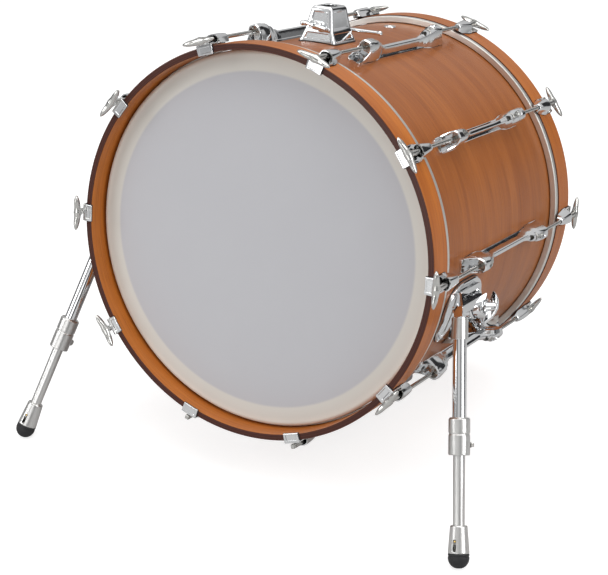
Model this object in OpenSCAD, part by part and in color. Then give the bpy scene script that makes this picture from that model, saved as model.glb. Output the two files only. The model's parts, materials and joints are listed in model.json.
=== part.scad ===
// Bass drum on folding spurs.
// The drum is drawn in its own frame first: the shell's axis along +Y with the front hoop's face at y = 0,
// +Z towards the top of the shell. on_floor() then tips it back so that the rear hoop and both feet touch z = 0.
// Things that sit round the shell are drawn at the top, x along the rim, y along the depth and z outwards.

/* [Shell and hoops] */
// Radius of the shell's outer face
shell_r = 277.5; // [270:1:285]
// Thickness of the shell's plies
shell_wall = 7.5; // [5:0.5:10]
// Depth of the shell, edge to edge
shell_depth = 457; // [400:1:500]
// Outer radius of the wooden hoops
hoop_r = 290; // [288:1:293]
// Thickness of the hoops
hoop_wall = 9.6; // [8:0.2:10]
// Width of the hoops
hoop_w = 44; // [38:1:46]
// How far a hoop stands past the shell's bearing edge
hoop_lead = 30; // [25:1:32]

/* [Tuning] */
// Number of lugs
lug_count = 10; // [10]
// Radius of the circle through the tension rods
rod_circle = 298.5; // [298:0.5:300]
// Radius of a tension rod
rod_r = 3; // [2.5:0.1:3.2]
// Span of a T-rod's wings
wing_span = 54; // [40:1:58]
// Length of a lug's base
lug_length = 290; // [250:1:300]

/* [Post receiver] */
// Depth at which the receiver's post stands
post_y = 195; // [180:1:215]
// Radius of the post that the receiver takes
post_r = 12.75; // [11:0.05:13]
// Height of the receiver above the shell's crown
receiver_h = 51; // [45:1:60]
// Depth at which the air vent sits
vent_y = 404; // [380:1:420]

/* [Stand] */
// How far the drum tips back
tilt = 9.3; // [7:0.1:10]
// How far the open legs lean outwards
leg_out = 13.2; // [10:0.1:16]
// How far the open legs lean forwards
leg_forward = 17.4; // [14:0.1:20]
// Depth of the spur's fold pivot
pivot_y = 142; // [130:1:160]
// Distance from the fold pivot to the leg's centre line
leg_offset = 73; // [70:1:76]
// How far the top of the upper tube lies past the pivot, along the leg
socket_start = 20; // [16:1:24]
// Where the memory collar starts, along the leg
collar_start = 156.6; // [150:0.5:165]
// Radius of the upper tube
tube_r = 9.7; // [9.5:0.1:10]
// Radius of the telescoping lower tube
lower_r = 8.25; // [8:0.05:8.25]
// Radius of the rubber foot
foot_r = 15; // [13:0.5:16]

/* [Hidden] */
depth = shell_depth + 2 * hoop_lead;
step = 360 / lug_count;
first = step / 2;
clocks = [for (i = [0 : lug_count - 1]) first + i * step];
round_fn = 48;
rim_fn = 240;

edge_front = hoop_lead;
edge_rear = depth - hoop_lead;
hoop_round = 1.5;

film_t = 0.5;
film_r = shell_r + 0.3;
flesh_in = film_r + film_t + 0.2;
flesh_out = 288.6;
flesh_w = 10;

pad_t = 1;
claw_plate = 2.4;
claw_half = 13;
claw_start = 22;
claw_end = 58;
claw_seat = 34;
washer_t = 1.2;
washer_r = 5.8;
collar_t = 3;
wing_front = -19;
wing_rear = -5;
wing_t = 4.6;
rod_end = 168;
nut_start = 146;
nut_len = 20;

dome_start = (depth - 244) / 2;

gasket_t = 1.2;
post_hole = post_r + 1.5;
bolt_r = 4;
front_bolt_z = shell_r + 25;
rear_bolt_z = shell_r + 14;

// the ground, as a distance along its normal from the middle of the front face
ground = (depth - hoop_round) * sin(tilt) + (hoop_r - hoop_round) * cos(tilt) + hoop_round;
// the fold pivot, on the plane that both leg positions lie in
fold_plane = 283.7;
pivot_drop = 130;
pivot = [fold_plane * cos(leg_out) + pivot_drop * sin(leg_out), pivot_y,
         fold_plane * sin(leg_out) - pivot_drop * cos(leg_out)];
// unit vectors along the open leg, and across it towards the rear
leg_dir = [cos(leg_forward) * sin(leg_out), -sin(leg_forward), -cos(leg_forward) * cos(leg_out)];
leg_side = [sin(leg_forward) * sin(leg_out), cos(leg_forward), -sin(leg_forward) * cos(leg_out)];
up = [0, -sin(tilt), cos(tilt)];
leg_root = pivot - leg_offset * leg_side;
// how far along the leg the foot's round end has its centre
foot_u = (foot_r - ground - leg_root * up) / (leg_dir * up);
ferrule_len = 38;
foot_top = foot_u - 6;
ferrule_top = foot_top - ferrule_len;
pin_u = ferrule_top + 21;
socket_end = socket_start + 29;
collar_end = collar_start + 52;
lower_top = collar_start - 62;
upper_in = lower_r + 0.05;

// the row's origin: under the middle of the drum's box
centre_y = 235.44;

// ---- frames ----
module on_floor() {
    translate([0, -centre_y, ground]) rotate([-tilt, 0, 0]) children();
}
module along_axis() {
    rotate([-90, 0, 0]) children();
}
module at_clock(a) {
    rotate([0, a, 0]) children();
}
module from_rear() {
    translate([0, depth, 0]) mirror([0, 1, 0]) children();
}
module all_round() {
    for (a = clocks) at_clock(a) children();
}
// the fold frame: x down the open leg's plane, y to the rear, z out along the fold pivot
module fold_frame() {
    translate(pivot) rotate([0, 90 - leg_out, 0]) children();
}
// the leg frame: z down the leg's centre line, x inwards along the pivot, y to the rear
module leg_frame() {
    fold_frame() rotate([0, 0, -leg_forward]) translate([0, -leg_offset, 0]) rotate([0, 90, 0]) children();
}
module side(name) {
    if (name == "left") mirror([1, 0, 0]) children();
    else children();
}

// ---- plain shapes ----
module rounded_rect(size, r) {
    translate([r, 0]) square([size[0] - 2 * r, size[1]]);
    translate([0, r]) square([size[0], size[1] - 2 * r]);
    for (x = [r, size[0] - r]) for (y = [r, size[1] - r]) translate([x, y]) circle(r = r, $fn = 32);
}
module ring(r_in, r_out, y0, y1) {
    along_axis() translate([0, 0, y0]) difference() {
        cylinder(r = r_out, h = y1 - y0, $fn = rim_fn);
        translate([0, 0, -1]) cylinder(r = r_in, h = y1 - y0 + 2, $fn = rim_fn);
    }
}
module drum_core(r) {
    along_axis() translate([0, 0, -60]) cylinder(r = r, h = depth + 120, $fn = rim_fn);
}
module rod_along_y(r, y0, y1, z, fn = round_fn) {
    translate([0, y0, z]) rotate([-90, 0, 0]) cylinder(r = r, h = y1 - y0, $fn = fn);
}

// ---- shell ----
module screw_places() {
    for (a = clocks) for (y = [dome_start + 52, depth - dome_start - 52]) at_clock(a) translate([0, y, 0]) children();
    for (x = [-19, 19]) for (y = [-25, 25]) at_clock(atan(x / shell_r)) translate([0, post_y + y, 0]) children();
    for (s = [-1, 1]) for (p = [[99, 128], [99, 166], [111, 106], [111, 188]])
        at_clock(s * p[0]) translate([0, p[1], 0]) children();
}
module shell() {
    color("sienna") difference() {
        along_axis() rotate_extrude($fn = rim_fn) polygon([
            [shell_r, edge_front + 7], [shell_r - 5, edge_front], [shell_r - shell_wall, edge_front + 3],
            [shell_r - shell_wall, edge_rear - 3], [shell_r - 5, edge_rear], [shell_r, edge_rear - 7]]);
        translate([0, vent_y, shell_r - 20]) cylinder(r = 6.2, h = 40, $fn = round_fn);
        translate([0, post_y, shell_r - 20]) cylinder(r = post_hole, h = 40, $fn = round_fn);
        screw_places() translate([0, 0, shell_r - 20]) cylinder(r = 3.3, h = 40, $fn = 24);
    }
}

// ---- heads ----
module head_film() {
    along_axis() rotate_extrude($fn = rim_fn) polygon([
        [0, edge_front - film_t - 0.1], [shell_r - 4.9, edge_front - film_t - 0.1],
        [film_r + film_t, edge_front + 6.4], [film_r + film_t, hoop_w + flesh_w - 4],
        [film_r, hoop_w + flesh_w - 4], [film_r, edge_front + 6.9],
        [shell_r - 5, edge_front - 0.1], [0, edge_front - 0.1]]);
}
module front_head() {
    color("whitesmoke") head_film();
}
module rear_head() {
    color("whitesmoke") from_rear() head_film();
}
module flesh_hoop() {
    along_axis() rotate_extrude($fn = rim_fn)
        translate([flesh_in, hoop_w + 0.05]) rounded_rect([flesh_out - flesh_in, flesh_w], 2.6);
}
module front_flesh_hoop() {
    color("silver") flesh_hoop();
}
module rear_flesh_hoop() {
    color("silver") from_rear() flesh_hoop();
}

// ---- wooden hoops ----
module hoop() {
    along_axis() rotate_extrude($fn = rim_fn)
        translate([hoop_r - hoop_wall, 0]) rounded_rect([hoop_wall, hoop_w], hoop_round);
}
module front_hoop() {
    color("peru") hoop();
}
module rear_hoop() {
    color("peru") from_rear() hoop();
}

// ---- claws, their pads and washers ----
claw_in = hoop_r + pad_t;
claw_low = hoop_r - hoop_wall - 2;
claw_top = claw_in + claw_plate;
claw_roof = rod_circle + 7;
claw_mouth = 6.2;
module claw() {
    difference() {
        union() {
            // the tab over the hoop's face, and the strap across its rim
            translate([-claw_half, -pad_t - claw_plate, claw_low])
                cube([2 * claw_half, claw_plate, claw_top - claw_low]);
            translate([-claw_half, -pad_t - claw_plate, claw_in - 1])
                cube([2 * claw_half, claw_start + 6 + pad_t + claw_plate, claw_top - claw_in + 1]);
            // the hooded body that carries the rod, narrowing to its nose
            intersection() {
                translate([0, claw_start, rod_circle - 1]) rotate([-90, 0, 0])
                    cylinder(r1 = 11, r2 = 6.4, h = claw_end - claw_start, $fn = round_fn);
                translate([-20, claw_start, claw_in - 3]) cube([40, claw_end, claw_roof - claw_in + 3]);
            }
        }
        rod_along_y(rod_r + 0.6, claw_start - 30, claw_end + 1, rod_circle);
        rod_along_y(claw_mouth, claw_start - 1, claw_seat, rod_circle);
        drum_core(claw_in);
    }
}
module front_claws() {
    color("gainsboro") all_round() claw();
}
module rear_claws() {
    color("gainsboro") from_rear() all_round() claw();
}
module claw_pad() {
    intersection() {
        translate([-claw_half - 0.4, -pad_t, claw_low]) cube([2 * claw_half + 0.8, 34, 20]);
        difference() {
            drum_core(claw_in);
            ring(1, hoop_r, 0, 60);
            ring(1, claw_low + 0.5, -20, 60);
        }
    }
}
module claw_gaskets() {
    color("black") {
        all_round() claw_pad();
        from_rear() all_round() claw_pad();
    }
}
module rod_washer() {
    difference() {
        rod_along_y(washer_r, claw_seat - washer_t, claw_seat, rod_circle);
        rod_along_y(rod_r + 0.6, claw_seat - 5, claw_seat + 5, rod_circle);
    }
}
module rod_washers() {
    color("silver") {
        all_round() rod_washer();
        from_rear() all_round() rod_washer();
    }
}

// ---- tension rods ----
module rod_shaft(y0) {
    rod_along_y(rod_r, y0, rod_end, rod_circle);
    rod_along_y(5.6, claw_seat - washer_t - collar_t, claw_seat - washer_t - 0.05, rod_circle);
}
module wing_outline(span, y0, y1, tip) {
    mid = (y0 + y1) / 2;
    for (s = [-1, 1]) {
        translate([s * (span / 2 - tip), y0 + tip]) circle(r = tip, $fn = 32);
        polygon([[0, y1], [s * 6, y1], [s * (span / 2 - tip), y0 + 2 * tip], [s * (span / 2 - tip), y0], [0, mid - 4]]);
    }
}
module t_rod() {
    rod_shaft(wing_rear - 6);
    rod_along_y(4.4, wing_rear - 9, claw_seat - washer_t - collar_t, rod_circle);
    translate([0, 0, rod_circle - wing_t / 2]) linear_extrude(wing_t)
        wing_outline(wing_span, wing_front, wing_rear, 5);
}
module key_rod() {
    rod_shaft(4);
    rod_along_y(3.9, 3, claw_seat - washer_t - collar_t, rod_circle);
    translate([-3.2, -4, rod_circle - 3.2]) cube([6.4, 8, 6.4]);
}
// the two rods nearest the ground have key heads, the rest have wings
module tension_rod(i) {
    a = clocks[i - 1];
    at_clock(a) {
        if (abs(a - 180) < step) key_rod();
        else t_rod();
    }
}
module front_rod(i) {
    color("silver") tension_rod(i);
}
module rear_rod(i) {
    color("silver") from_rear() tension_rod(i);
}

// ---- lugs, nuts and screws ----
tongue_r = 12;
tongue_y = (depth - lug_length) / 2 + tongue_r;
module lug_half() {
    // base flange, flaring into a tongue in front of the eye
    translate([-8, tongue_y, shell_r - 6]) cube([16, depth / 2 - tongue_y, 9.5]);
    translate([-tongue_r, tongue_y, shell_r - 6]) cube([2 * tongue_r, 50, 9.5]);
    translate([0, tongue_y, shell_r - 6]) cylinder(r = tongue_r, h = 9.5, $fn = round_fn);
    // ridge
    translate([-3.7, dome_start + 10, shell_r - 4]) cube([7.4, depth / 2 - dome_start - 10, rod_circle - shell_r]);
    // eye: a round housing on a pedestal, with a domed end
    rod_along_y(11.5, dome_start, dome_start + 30, rod_circle - 0.5);
    translate([0, dome_start + 30, rod_circle - 0.5]) sphere(r = 11.5, $fn = round_fn);
    translate([-9, dome_start, shell_r - 4]) cube([18, 36, 22]);
}
module lug() {
    difference() {
        union() {
            lug_half();
            from_rear() lug_half();
        }
        for (k = [0, 1]) lug_end(k) {
            rod_along_y(7.1, dome_start - 1, nut_start + nut_len + 0.2, rod_circle);
            rod_along_y(rod_r + 0.8, dome_start, rod_end + 1, rod_circle);
            translate([0, dome_start + 52, shell_r - 10]) cylinder(r = 2.6, h = 24, $fn = 24);
        }
        drum_core(shell_r + 0.02);
    }
}
module lug_end(k) {
    if (k == 0) children();
    else from_rear() children();
}
module lugs() {
    color("gainsboro") all_round() lug();
}
module swivel_nut() {
    difference() {
        rod_along_y(7, nut_start, nut_start + nut_len, rod_circle);
        rod_along_y(rod_r + 0.05, nut_start - 1, nut_start + nut_len + 1, rod_circle);
    }
}
module swivel_nuts() {
    color("darkgoldenrod") {
        all_round() swivel_nut();
        from_rear() all_round() swivel_nut();
    }
}
module shell_screw() {
    translate([0, 0, shell_r - shell_wall - 1.6]) cylinder(r = 8, h = 1.3, $fn = round_fn);
    translate([0, 0, shell_r - shell_wall - 5.4]) cylinder(r = 4.5, h = 4, $fn = round_fn);
    translate([0, 0, shell_r - shell_wall - 5]) cylinder(r = 2.55, h = shell_wall + 7.5, $fn = 24);
}
module shell_screws() {
    color("silver") screw_places() shell_screw();
}

// ---- vent ----
module vent_grommet() {
    color("gainsboro") translate([0, vent_y, 0]) rotate_extrude($fn = round_fn) difference() {
        union() {
            translate([4.6, shell_r - shell_wall - 2]) square([1.4, shell_wall + 4]);
            translate([4.6, shell_r]) rounded_rect([4.9, 2.4], 1.15);
            translate([4.6, shell_r - shell_wall - 2.4]) rounded_rect([4.4, 1.8], 0.85);
        }
    }
}

// ---- post receiver ----
receiver_foot = [60, 69];
receiver_waist = [52, 68];
receiver_head = [33, 48];
module corner_posts(size, r, z, h) {
    for (x = [-1, 1]) for (y = [-1, 1])
        translate([x * (size[0] / 2 - r), y * (size[1] / 2 - r), z]) cylinder(r = r, h = h, $fn = 32);
}
module tom_receiver() {
    color("gainsboro") translate([0, post_y, 0]) difference() {
        union() {
            hull() {
                corner_posts(receiver_foot, 3, shell_r - 4, 3);
                corner_posts(receiver_waist, 4, shell_r + 10, 1);
            }
            hull() {
                corner_posts(receiver_waist - [2, 2], 4, shell_r + 10, 1);
                corner_posts(receiver_head, 4, shell_r + receiver_h - 5, 1);
                corner_posts(receiver_head - [6, 6], 4, shell_r + receiver_h - 1, 1);
            }
        }
        translate([0, 0, shell_r - 20]) cylinder(r = post_r, h = receiver_h + 40, $fn = 64);
        translate([0, 0, front_bolt_z]) rotate([90, 0, 0]) cylinder(r = bolt_r + 0.05, h = 60, $fn = round_fn);
        translate([0, 0, rear_bolt_z]) rotate([-90, 0, 0]) cylinder(r = bolt_r + 0.05, h = 60, $fn = round_fn);
        translate([0, -post_y, 0]) drum_core(shell_r + gasket_t);
        for (x = [-19, 19]) for (y = [-25, 25]) translate([0, y, 0]) at_clock(atan(x / shell_r))
            translate([0, 0, shell_r - 5]) cylinder(r = 2.6, h = 12, $fn = 24);
    }
}
module receiver_front_bolt() {
    color("gainsboro") translate([0, post_y, front_bolt_z]) rotate([90, 0, 0]) {
        translate([0, 0, post_r + 0.6]) cylinder(r = bolt_r, h = 32, $fn = round_fn);
        translate([0, 0, 33]) cylinder(r1 = 7, r2 = 6, h = 9, $fn = round_fn);
        translate([0, 0, 42]) sphere(r = 6, $fn = round_fn);
        rotate([0, 0, 12]) translate([0, 2.2, 0]) rotate([90, 0, 0]) linear_extrude(4.4) receiver_wing();
    }
}
module receiver_wing() {
    for (s = [-1, 1]) {
        translate([s * 15.5, 43]) circle(r = 5, $fn = 32);
        polygon([[0, 35], [s * 5, 35], [s * 18.5, 39], [s * 15.5, 48], [0, 43]]);
    }
}
module receiver_rear_bolt() {
    color("gainsboro") translate([0, post_y, rear_bolt_z]) rotate([-90, 0, 0]) {
        translate([0, 0, post_r + 0.6]) cylinder(r = bolt_r, h = 26, $fn = round_fn);
        translate([0, 0, 35.4]) cylinder(r = 6.5, h = 9, $fn = round_fn);
        translate([-66, 0, 40]) rotate([0, 90, 0]) cylinder(r = 3, h = 132, $fn = 32);
        for (s = [-1, 1]) translate([s * 66, 0, 40]) sphere(r = 4, $fn = 32);
    }
}

// ---- gaskets under the receiver and the spur brackets ----
bracket_clock = 105.5;
bracket_y = 147;
bracket_size = [98, 124];
module bracket_slab(grow, r_out) {
    w = bracket_size[0] + 2 * grow;
    l = bracket_size[1] + 2 * grow;
    intersection() {
        at_clock(bracket_clock) translate([-w / 2, bracket_y - l / 2, shell_r - 40])
            linear_extrude(80) difference() {
                rounded_rect([w, l], 44 + grow);
                // the foot plate is open below the pivot
                translate([w / 2 + 26, l / 2]) circle(r = 22 - grow, $fn = 64);
                translate([w / 2 + 26, l / 2 - 22 + grow]) square([80, 44 - 2 * grow]);
            }
        drum_core(r_out);
    }
}
module mount_gaskets() {
    color("black") {
        difference() {
            intersection() {
                translate([0, post_y, shell_r - 4])
                    linear_extrude(8) translate([-31.5, -36]) rounded_rect([63, 72], 4);
                drum_core(shell_r + gasket_t);
            }
            drum_core(shell_r);
            translate([0, post_y, shell_r - 20]) cylinder(r = post_hole, h = 40, $fn = round_fn);
            screw_places() translate([0, 0, shell_r - 5]) cylinder(r = 2.7, h = 12, $fn = 24);
        }
        for (s = ["right", "left"]) side(s) difference() {
            bracket_slab(1, shell_r + gasket_t);
            drum_core(shell_r);
            screw_places() translate([0, 0, shell_r - 5]) cylinder(r = 2.7, h = 12, $fn = 24);
        }
    }
}

// ---- spur brackets ----
arm_in = -9;
arm_out = 7;
boss_r = 19;
bracket_t = 4;
stud_r = 4;
stud_end = arm_out + 12;
module bracket_walls() {
    // pivot boss with its stud, and the two cheeks that brace it on the plate
    fold_frame() {
        translate([0, 0, -70]) cylinder(r = boss_r, h = 70 + arm_in - 0.5, $fn = 64);
        translate([0, 0, -30]) cylinder(r = stud_r, h = 30 + stud_end, $fn = round_fn);
        cheek(-27, [[-30, -80], [-30, -13], [8, -13], [12, -34], [42.4, -44], [42.4, -80]]);
        cheek(34, [[-30, -80], [-30, -13], [42.4, -13], [42.4, -80]]);
        translate([-30, -34, -80]) cube([7, 68, 80 + arm_in - 4]);
        // ledge below the pivot, with a tab that reaches out past the arm and has an oval slot
        difference() {
            union() {
                translate([37, -36, -60]) cube([6, 72, 46.5]);
                translate([37.2, 14, -18]) cube([5.6, 21.6, 22]);
                translate([37.2, 24.8, 4]) rotate([0, 90, 0]) cylinder(r = 10.8, h = 5.6, $fn = 48);
            }
            for (z = [-15, 3]) translate([30, 24.8, z]) rotate([0, 90, 0]) cylinder(r = 4, h = 20, $fn = 32);
            translate([30, 20.8, -15]) cube([20, 8, 18]);
        }
    }
}
// a web on the plate, 7 thick, drawn as (x, z) points of the fold frame
module cheek(y, outline) {
    translate([0, y, 0]) rotate([90, 0, 0]) linear_extrude(7) polygon(outline);
}
module spur_base() {
    difference() {
        union() {
            bracket_slab(0, shell_r + gasket_t + bracket_t);
            bracket_walls();
        }
        drum_core(shell_r + gasket_t);
        fold_frame() translate([-60, -22, -60]) cube([35, 44, 42]);
        screw_places() translate([0, 0, shell_r - 5]) cylinder(r = 2.6, h = 9.5, $fn = 24);
    }
}
module spur_bases() {
    color("gainsboro") for (s = ["right", "left"]) side(s) spur_base();
}
module arm(s) {
    color("gainsboro") side(s) difference() {
        union() {
            fold_frame() {
                translate([0, 0, arm_in]) cylinder(r = 16, h = arm_out - arm_in, $fn = 64);
                translate([-20, -leg_offset - 5, arm_in]) cube([11, leg_offset + 13, arm_out - arm_in]);
            }
            leg_frame() translate([-6.3, -6.2, 3]) cube([12.6, 12.4, socket_start - 4.2]);
            leg_frame() translate([0, 0, socket_start - 2.5])
                cylinder(r = 11.6, h = socket_end - socket_start + 2.5, $fn = round_fn);
        }
        leg_frame() translate([0, 0, socket_start]) cylinder(r = tube_r, h = 60, $fn = round_fn);
        fold_frame() translate([0, 0, -20]) cylinder(r = stud_r + 0.4, h = 60, $fn = round_fn);
    }
}
module wing_nut(s) {
    color("gainsboro") side(s) fold_frame() difference() {
        union() {
            translate([0, 0, arm_out + 0.4]) cylinder(r = 11, h = 2, $fn = round_fn);
            translate([0, 0, arm_out + 2]) cylinder(r1 = 9, r2 = 6, h = 14, $fn = round_fn);
            rotate([0, 0, -52]) translate([0, 2.2, 0]) rotate([90, 0, 0]) linear_extrude(4.4) nut_wing();
        }
        translate([0, 0, arm_out]) cylinder(r = stud_r + 0.05, h = stud_end - arm_out + 0.3, $fn = round_fn);
    }
}
// a half-moon blade that stands across the hub
module nut_wing() {
    intersection() {
        translate([0, -12.5]) circle(r = 37.5, $fn = 128);
        translate([-28.5, 10.5]) square([57, 20]);
    }
}

// ---- legs ----
module upper_tube(s) {
    color("gainsboro") side(s) leg_frame() difference() {
        translate([0, 0, socket_start + 0.05]) cylinder(r = tube_r - 0.02, h = collar_end - 4 - socket_start, $fn = 64);
        translate([0, 0, socket_start + 4]) cylinder(r = upper_in, h = 300, $fn = 64);
    }
}
module collar(s) {
    color("lightgray") side(s) leg_frame() difference() {
        union() {
            translate([0, 0, collar_start]) cylinder(r1 = 13.4, r2 = foot_r, h = 3, $fn = 64);
            translate([0, 0, collar_start + 3]) cylinder(r = foot_r, h = 19, $fn = 64);
            translate([0, 0, collar_start + 22]) cylinder(r = 14.2, h = 2, $fn = 64);
            translate([0, 0, collar_start + 24]) cylinder(r = foot_r, h = collar_end - collar_start - 24, $fn = 64);
            translate([-7, 0, collar_start + 27]) cube([14, 18, 22]);
        }
        translate([0, 0, collar_start - 1]) cylinder(r = tube_r, h = collar_end - collar_start - 3, $fn = 64);
        translate([0, 0, collar_start]) cylinder(r = lower_r + 0.4, h = 80, $fn = 64);
        translate([-0.8, 0, collar_start + 24]) cube([1.6, 30, 60]);
        translate([-30, 14.2, collar_start + 38]) rotate([0, 90, 0]) cylinder(r = 3.4, h = 60, $fn = 32);
        // pockets for the bolt's head and nut, beside the ears
        for (x = [-17.2, 7.2]) translate([x, 14.2, collar_start + 38]) rotate([0, 90, 0])
            cylinder(r = 5.4, h = 10, $fn = 32);
    }
}
module collar_bolt(s) {
    color("silver") side(s) leg_frame() translate([0, 14.2, collar_start + 38]) rotate([0, 90, 0]) {
        translate([0, 0, -7.4]) cylinder(r = 3, h = 15, $fn = 32);
        translate([0, 0, -11]) cylinder(r = 4.4, h = 3.7, $fn = 32);
        translate([-2.6, -2.6, -15]) cube([5.2, 5.2, 5]);
        translate([0, 0, 7.3]) cylinder(r = 5, h = 4, $fn = 32);
    }
}
module lower_tube(s) {
    color("silver") side(s) leg_frame() difference() {
        translate([0, 0, lower_top]) cylinder(r = lower_r, h = foot_top - 12 - lower_top, $fn = 64);
        translate([0, 0, lower_top - 1]) cylinder(r = lower_r - 1.6, h = 500, $fn = 64);
        translate([0, 0, pin_u]) rotate([90, 0, 0]) cylinder(r = 2, h = 14, $fn = 32);
    }
}
// the ferrule's long slot, seen from the front, with a hole at its upper end for the pin
module lock_slot(r) {
    for (u = [pin_u, pin_u + 12]) translate([0, 0, u]) rotate([90, 0, 0]) cylinder(r = r, h = 30, $fn = 32);
    translate([-r, -30, pin_u]) cube([2 * r, 30, 12]);
}
module lock_pin(s) {
    color("goldenrod") side(s) leg_frame() translate([0, 0, pin_u]) rotate([90, 0, 0])
        translate([0, 0, 6.7]) cylinder(r = 1.9, h = 6.6, $fn = 32);
}
module spike(s) {
    color("dimgray") side(s) leg_frame() {
        translate([0, 0, foot_top - 27]) cylinder(r = lower_r - 1.62, h = 14, $fn = round_fn);
        translate([0, 0, foot_top - 15]) cylinder(r = 3.6, h = foot_u - foot_top + 18, $fn = round_fn);
        translate([0, 0, foot_u + 3]) cylinder(r1 = 3.6, r2 = 0.8, h = 8, $fn = round_fn);
    }
}
module ferrule(s) {
    color("silver") side(s) leg_frame() difference() {
        union() {
            translate([0, 0, ferrule_top]) cylinder(r1 = 10.6, r2 = 12.2, h = 3, $fn = 64);
            translate([0, 0, ferrule_top + 3]) cylinder(r = 12.2, h = 14, $fn = 64);
            translate([0, 0, ferrule_top + 17]) cylinder(r1 = 12.2, r2 = foot_r, h = ferrule_len - 17, $fn = 64);
        }
        translate([0, 0, ferrule_top - 1]) cylinder(r = lower_r + 0.05, h = ferrule_len + 2, $fn = 64);
        lock_slot(2.4);
    }
}
module rubber_foot(s) {
    color("black") side(s) leg_frame() difference() {
        union() {
            translate([0, 0, foot_top + 0.02]) cylinder(r = foot_r - 0.2, h = foot_u - foot_top, $fn = 64);
            translate([0, 0, foot_u]) intersection() {
                sphere(r = foot_r, $fn = 96);
                cylinder(r = foot_r + 1, h = foot_r - 0.9, $fn = 64);
            }
        }
        translate([0, 0, foot_top - 1]) cylinder(r = 4.4, h = 40, $fn = round_fn);
    }
}

// ---- assembly ----
on_floor() shell();
on_floor() front_head();
on_floor() rear_head();
on_floor() front_flesh_hoop();
on_floor() rear_flesh_hoop();
on_floor() front_hoop();
on_floor() rear_hoop();
on_floor() front_claws();
on_floor() rear_claws();
on_floor() claw_gaskets();
on_floor() rod_washers();
on_floor() lugs();
on_floor() swivel_nuts();
on_floor() shell_screws();
on_floor() vent_grommet();
on_floor() tom_receiver();
on_floor() mount_gaskets();
on_floor() spur_bases();
on_floor() receiver_front_bolt();
on_floor() receiver_rear_bolt();
for (i = [1 : lug_count]) {
    on_floor() front_rod(i);
    on_floor() rear_rod(i);
}
for (s = ["right", "left"]) {
    on_floor() arm(s);
    on_floor() wing_nut(s);
    on_floor() upper_tube(s);
    on_floor() collar(s);
    on_floor() collar_bolt(s);
    on_floor() lower_tube(s);
    on_floor() lock_pin(s);
    on_floor() spike(s);
    on_floor() ferrule(s);
    on_floor() rubber_foot(s);
}
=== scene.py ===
import json
from math import cos, exp, pi, radians, sin, sqrt

import bmesh
import bpy
from mathutils import Matrix, Vector


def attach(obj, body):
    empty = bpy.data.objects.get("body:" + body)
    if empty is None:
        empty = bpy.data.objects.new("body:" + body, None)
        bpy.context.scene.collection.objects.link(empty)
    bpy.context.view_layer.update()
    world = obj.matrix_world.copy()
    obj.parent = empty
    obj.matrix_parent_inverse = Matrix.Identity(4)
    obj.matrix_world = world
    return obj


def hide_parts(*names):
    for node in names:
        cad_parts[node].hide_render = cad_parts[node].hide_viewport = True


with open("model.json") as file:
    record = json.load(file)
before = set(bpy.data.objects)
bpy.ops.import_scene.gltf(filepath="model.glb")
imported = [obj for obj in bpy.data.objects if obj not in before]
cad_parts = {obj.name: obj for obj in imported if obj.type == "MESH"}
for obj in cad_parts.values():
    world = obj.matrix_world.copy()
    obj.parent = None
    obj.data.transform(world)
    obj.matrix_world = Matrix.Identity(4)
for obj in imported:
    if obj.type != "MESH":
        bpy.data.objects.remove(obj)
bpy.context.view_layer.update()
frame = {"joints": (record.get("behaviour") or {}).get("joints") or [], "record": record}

# ---- Shell ----
# A tube of maple plies, stained and lacquered, with its grain running round the drum.
# Both edges are turned to a bearing edge; the air vent and the post each pass through a drilled hole.
MM = 0.001
DEPTH = 517.0
SHELL_R = 277.5
SHELL_IN = 270.0
EDGE = 30.0
HOOP_W = 44.0
POST_Y = 195.0
VENT_Y = 404.0

joints = {j["name"]: j for j in frame["joints"]}
post = next(m for m in frame["record"]["mounts"] if m["name"] == "post_bore")
POST_BORE_Z = 303.5
crown = Vector(post["axis"])
deep = Vector(joints["front_rod_1_turn"]["axis"])
# the drum's own frame: x across, y from the front hoop's face to the rear, z to the crown
drum = Matrix((deep.cross(crown), deep, crown)).transposed().to_4x4()
drum.translation = Vector(post["pos_m"]) - MM * (POST_Y * deep + POST_BORE_Z * crown)


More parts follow.
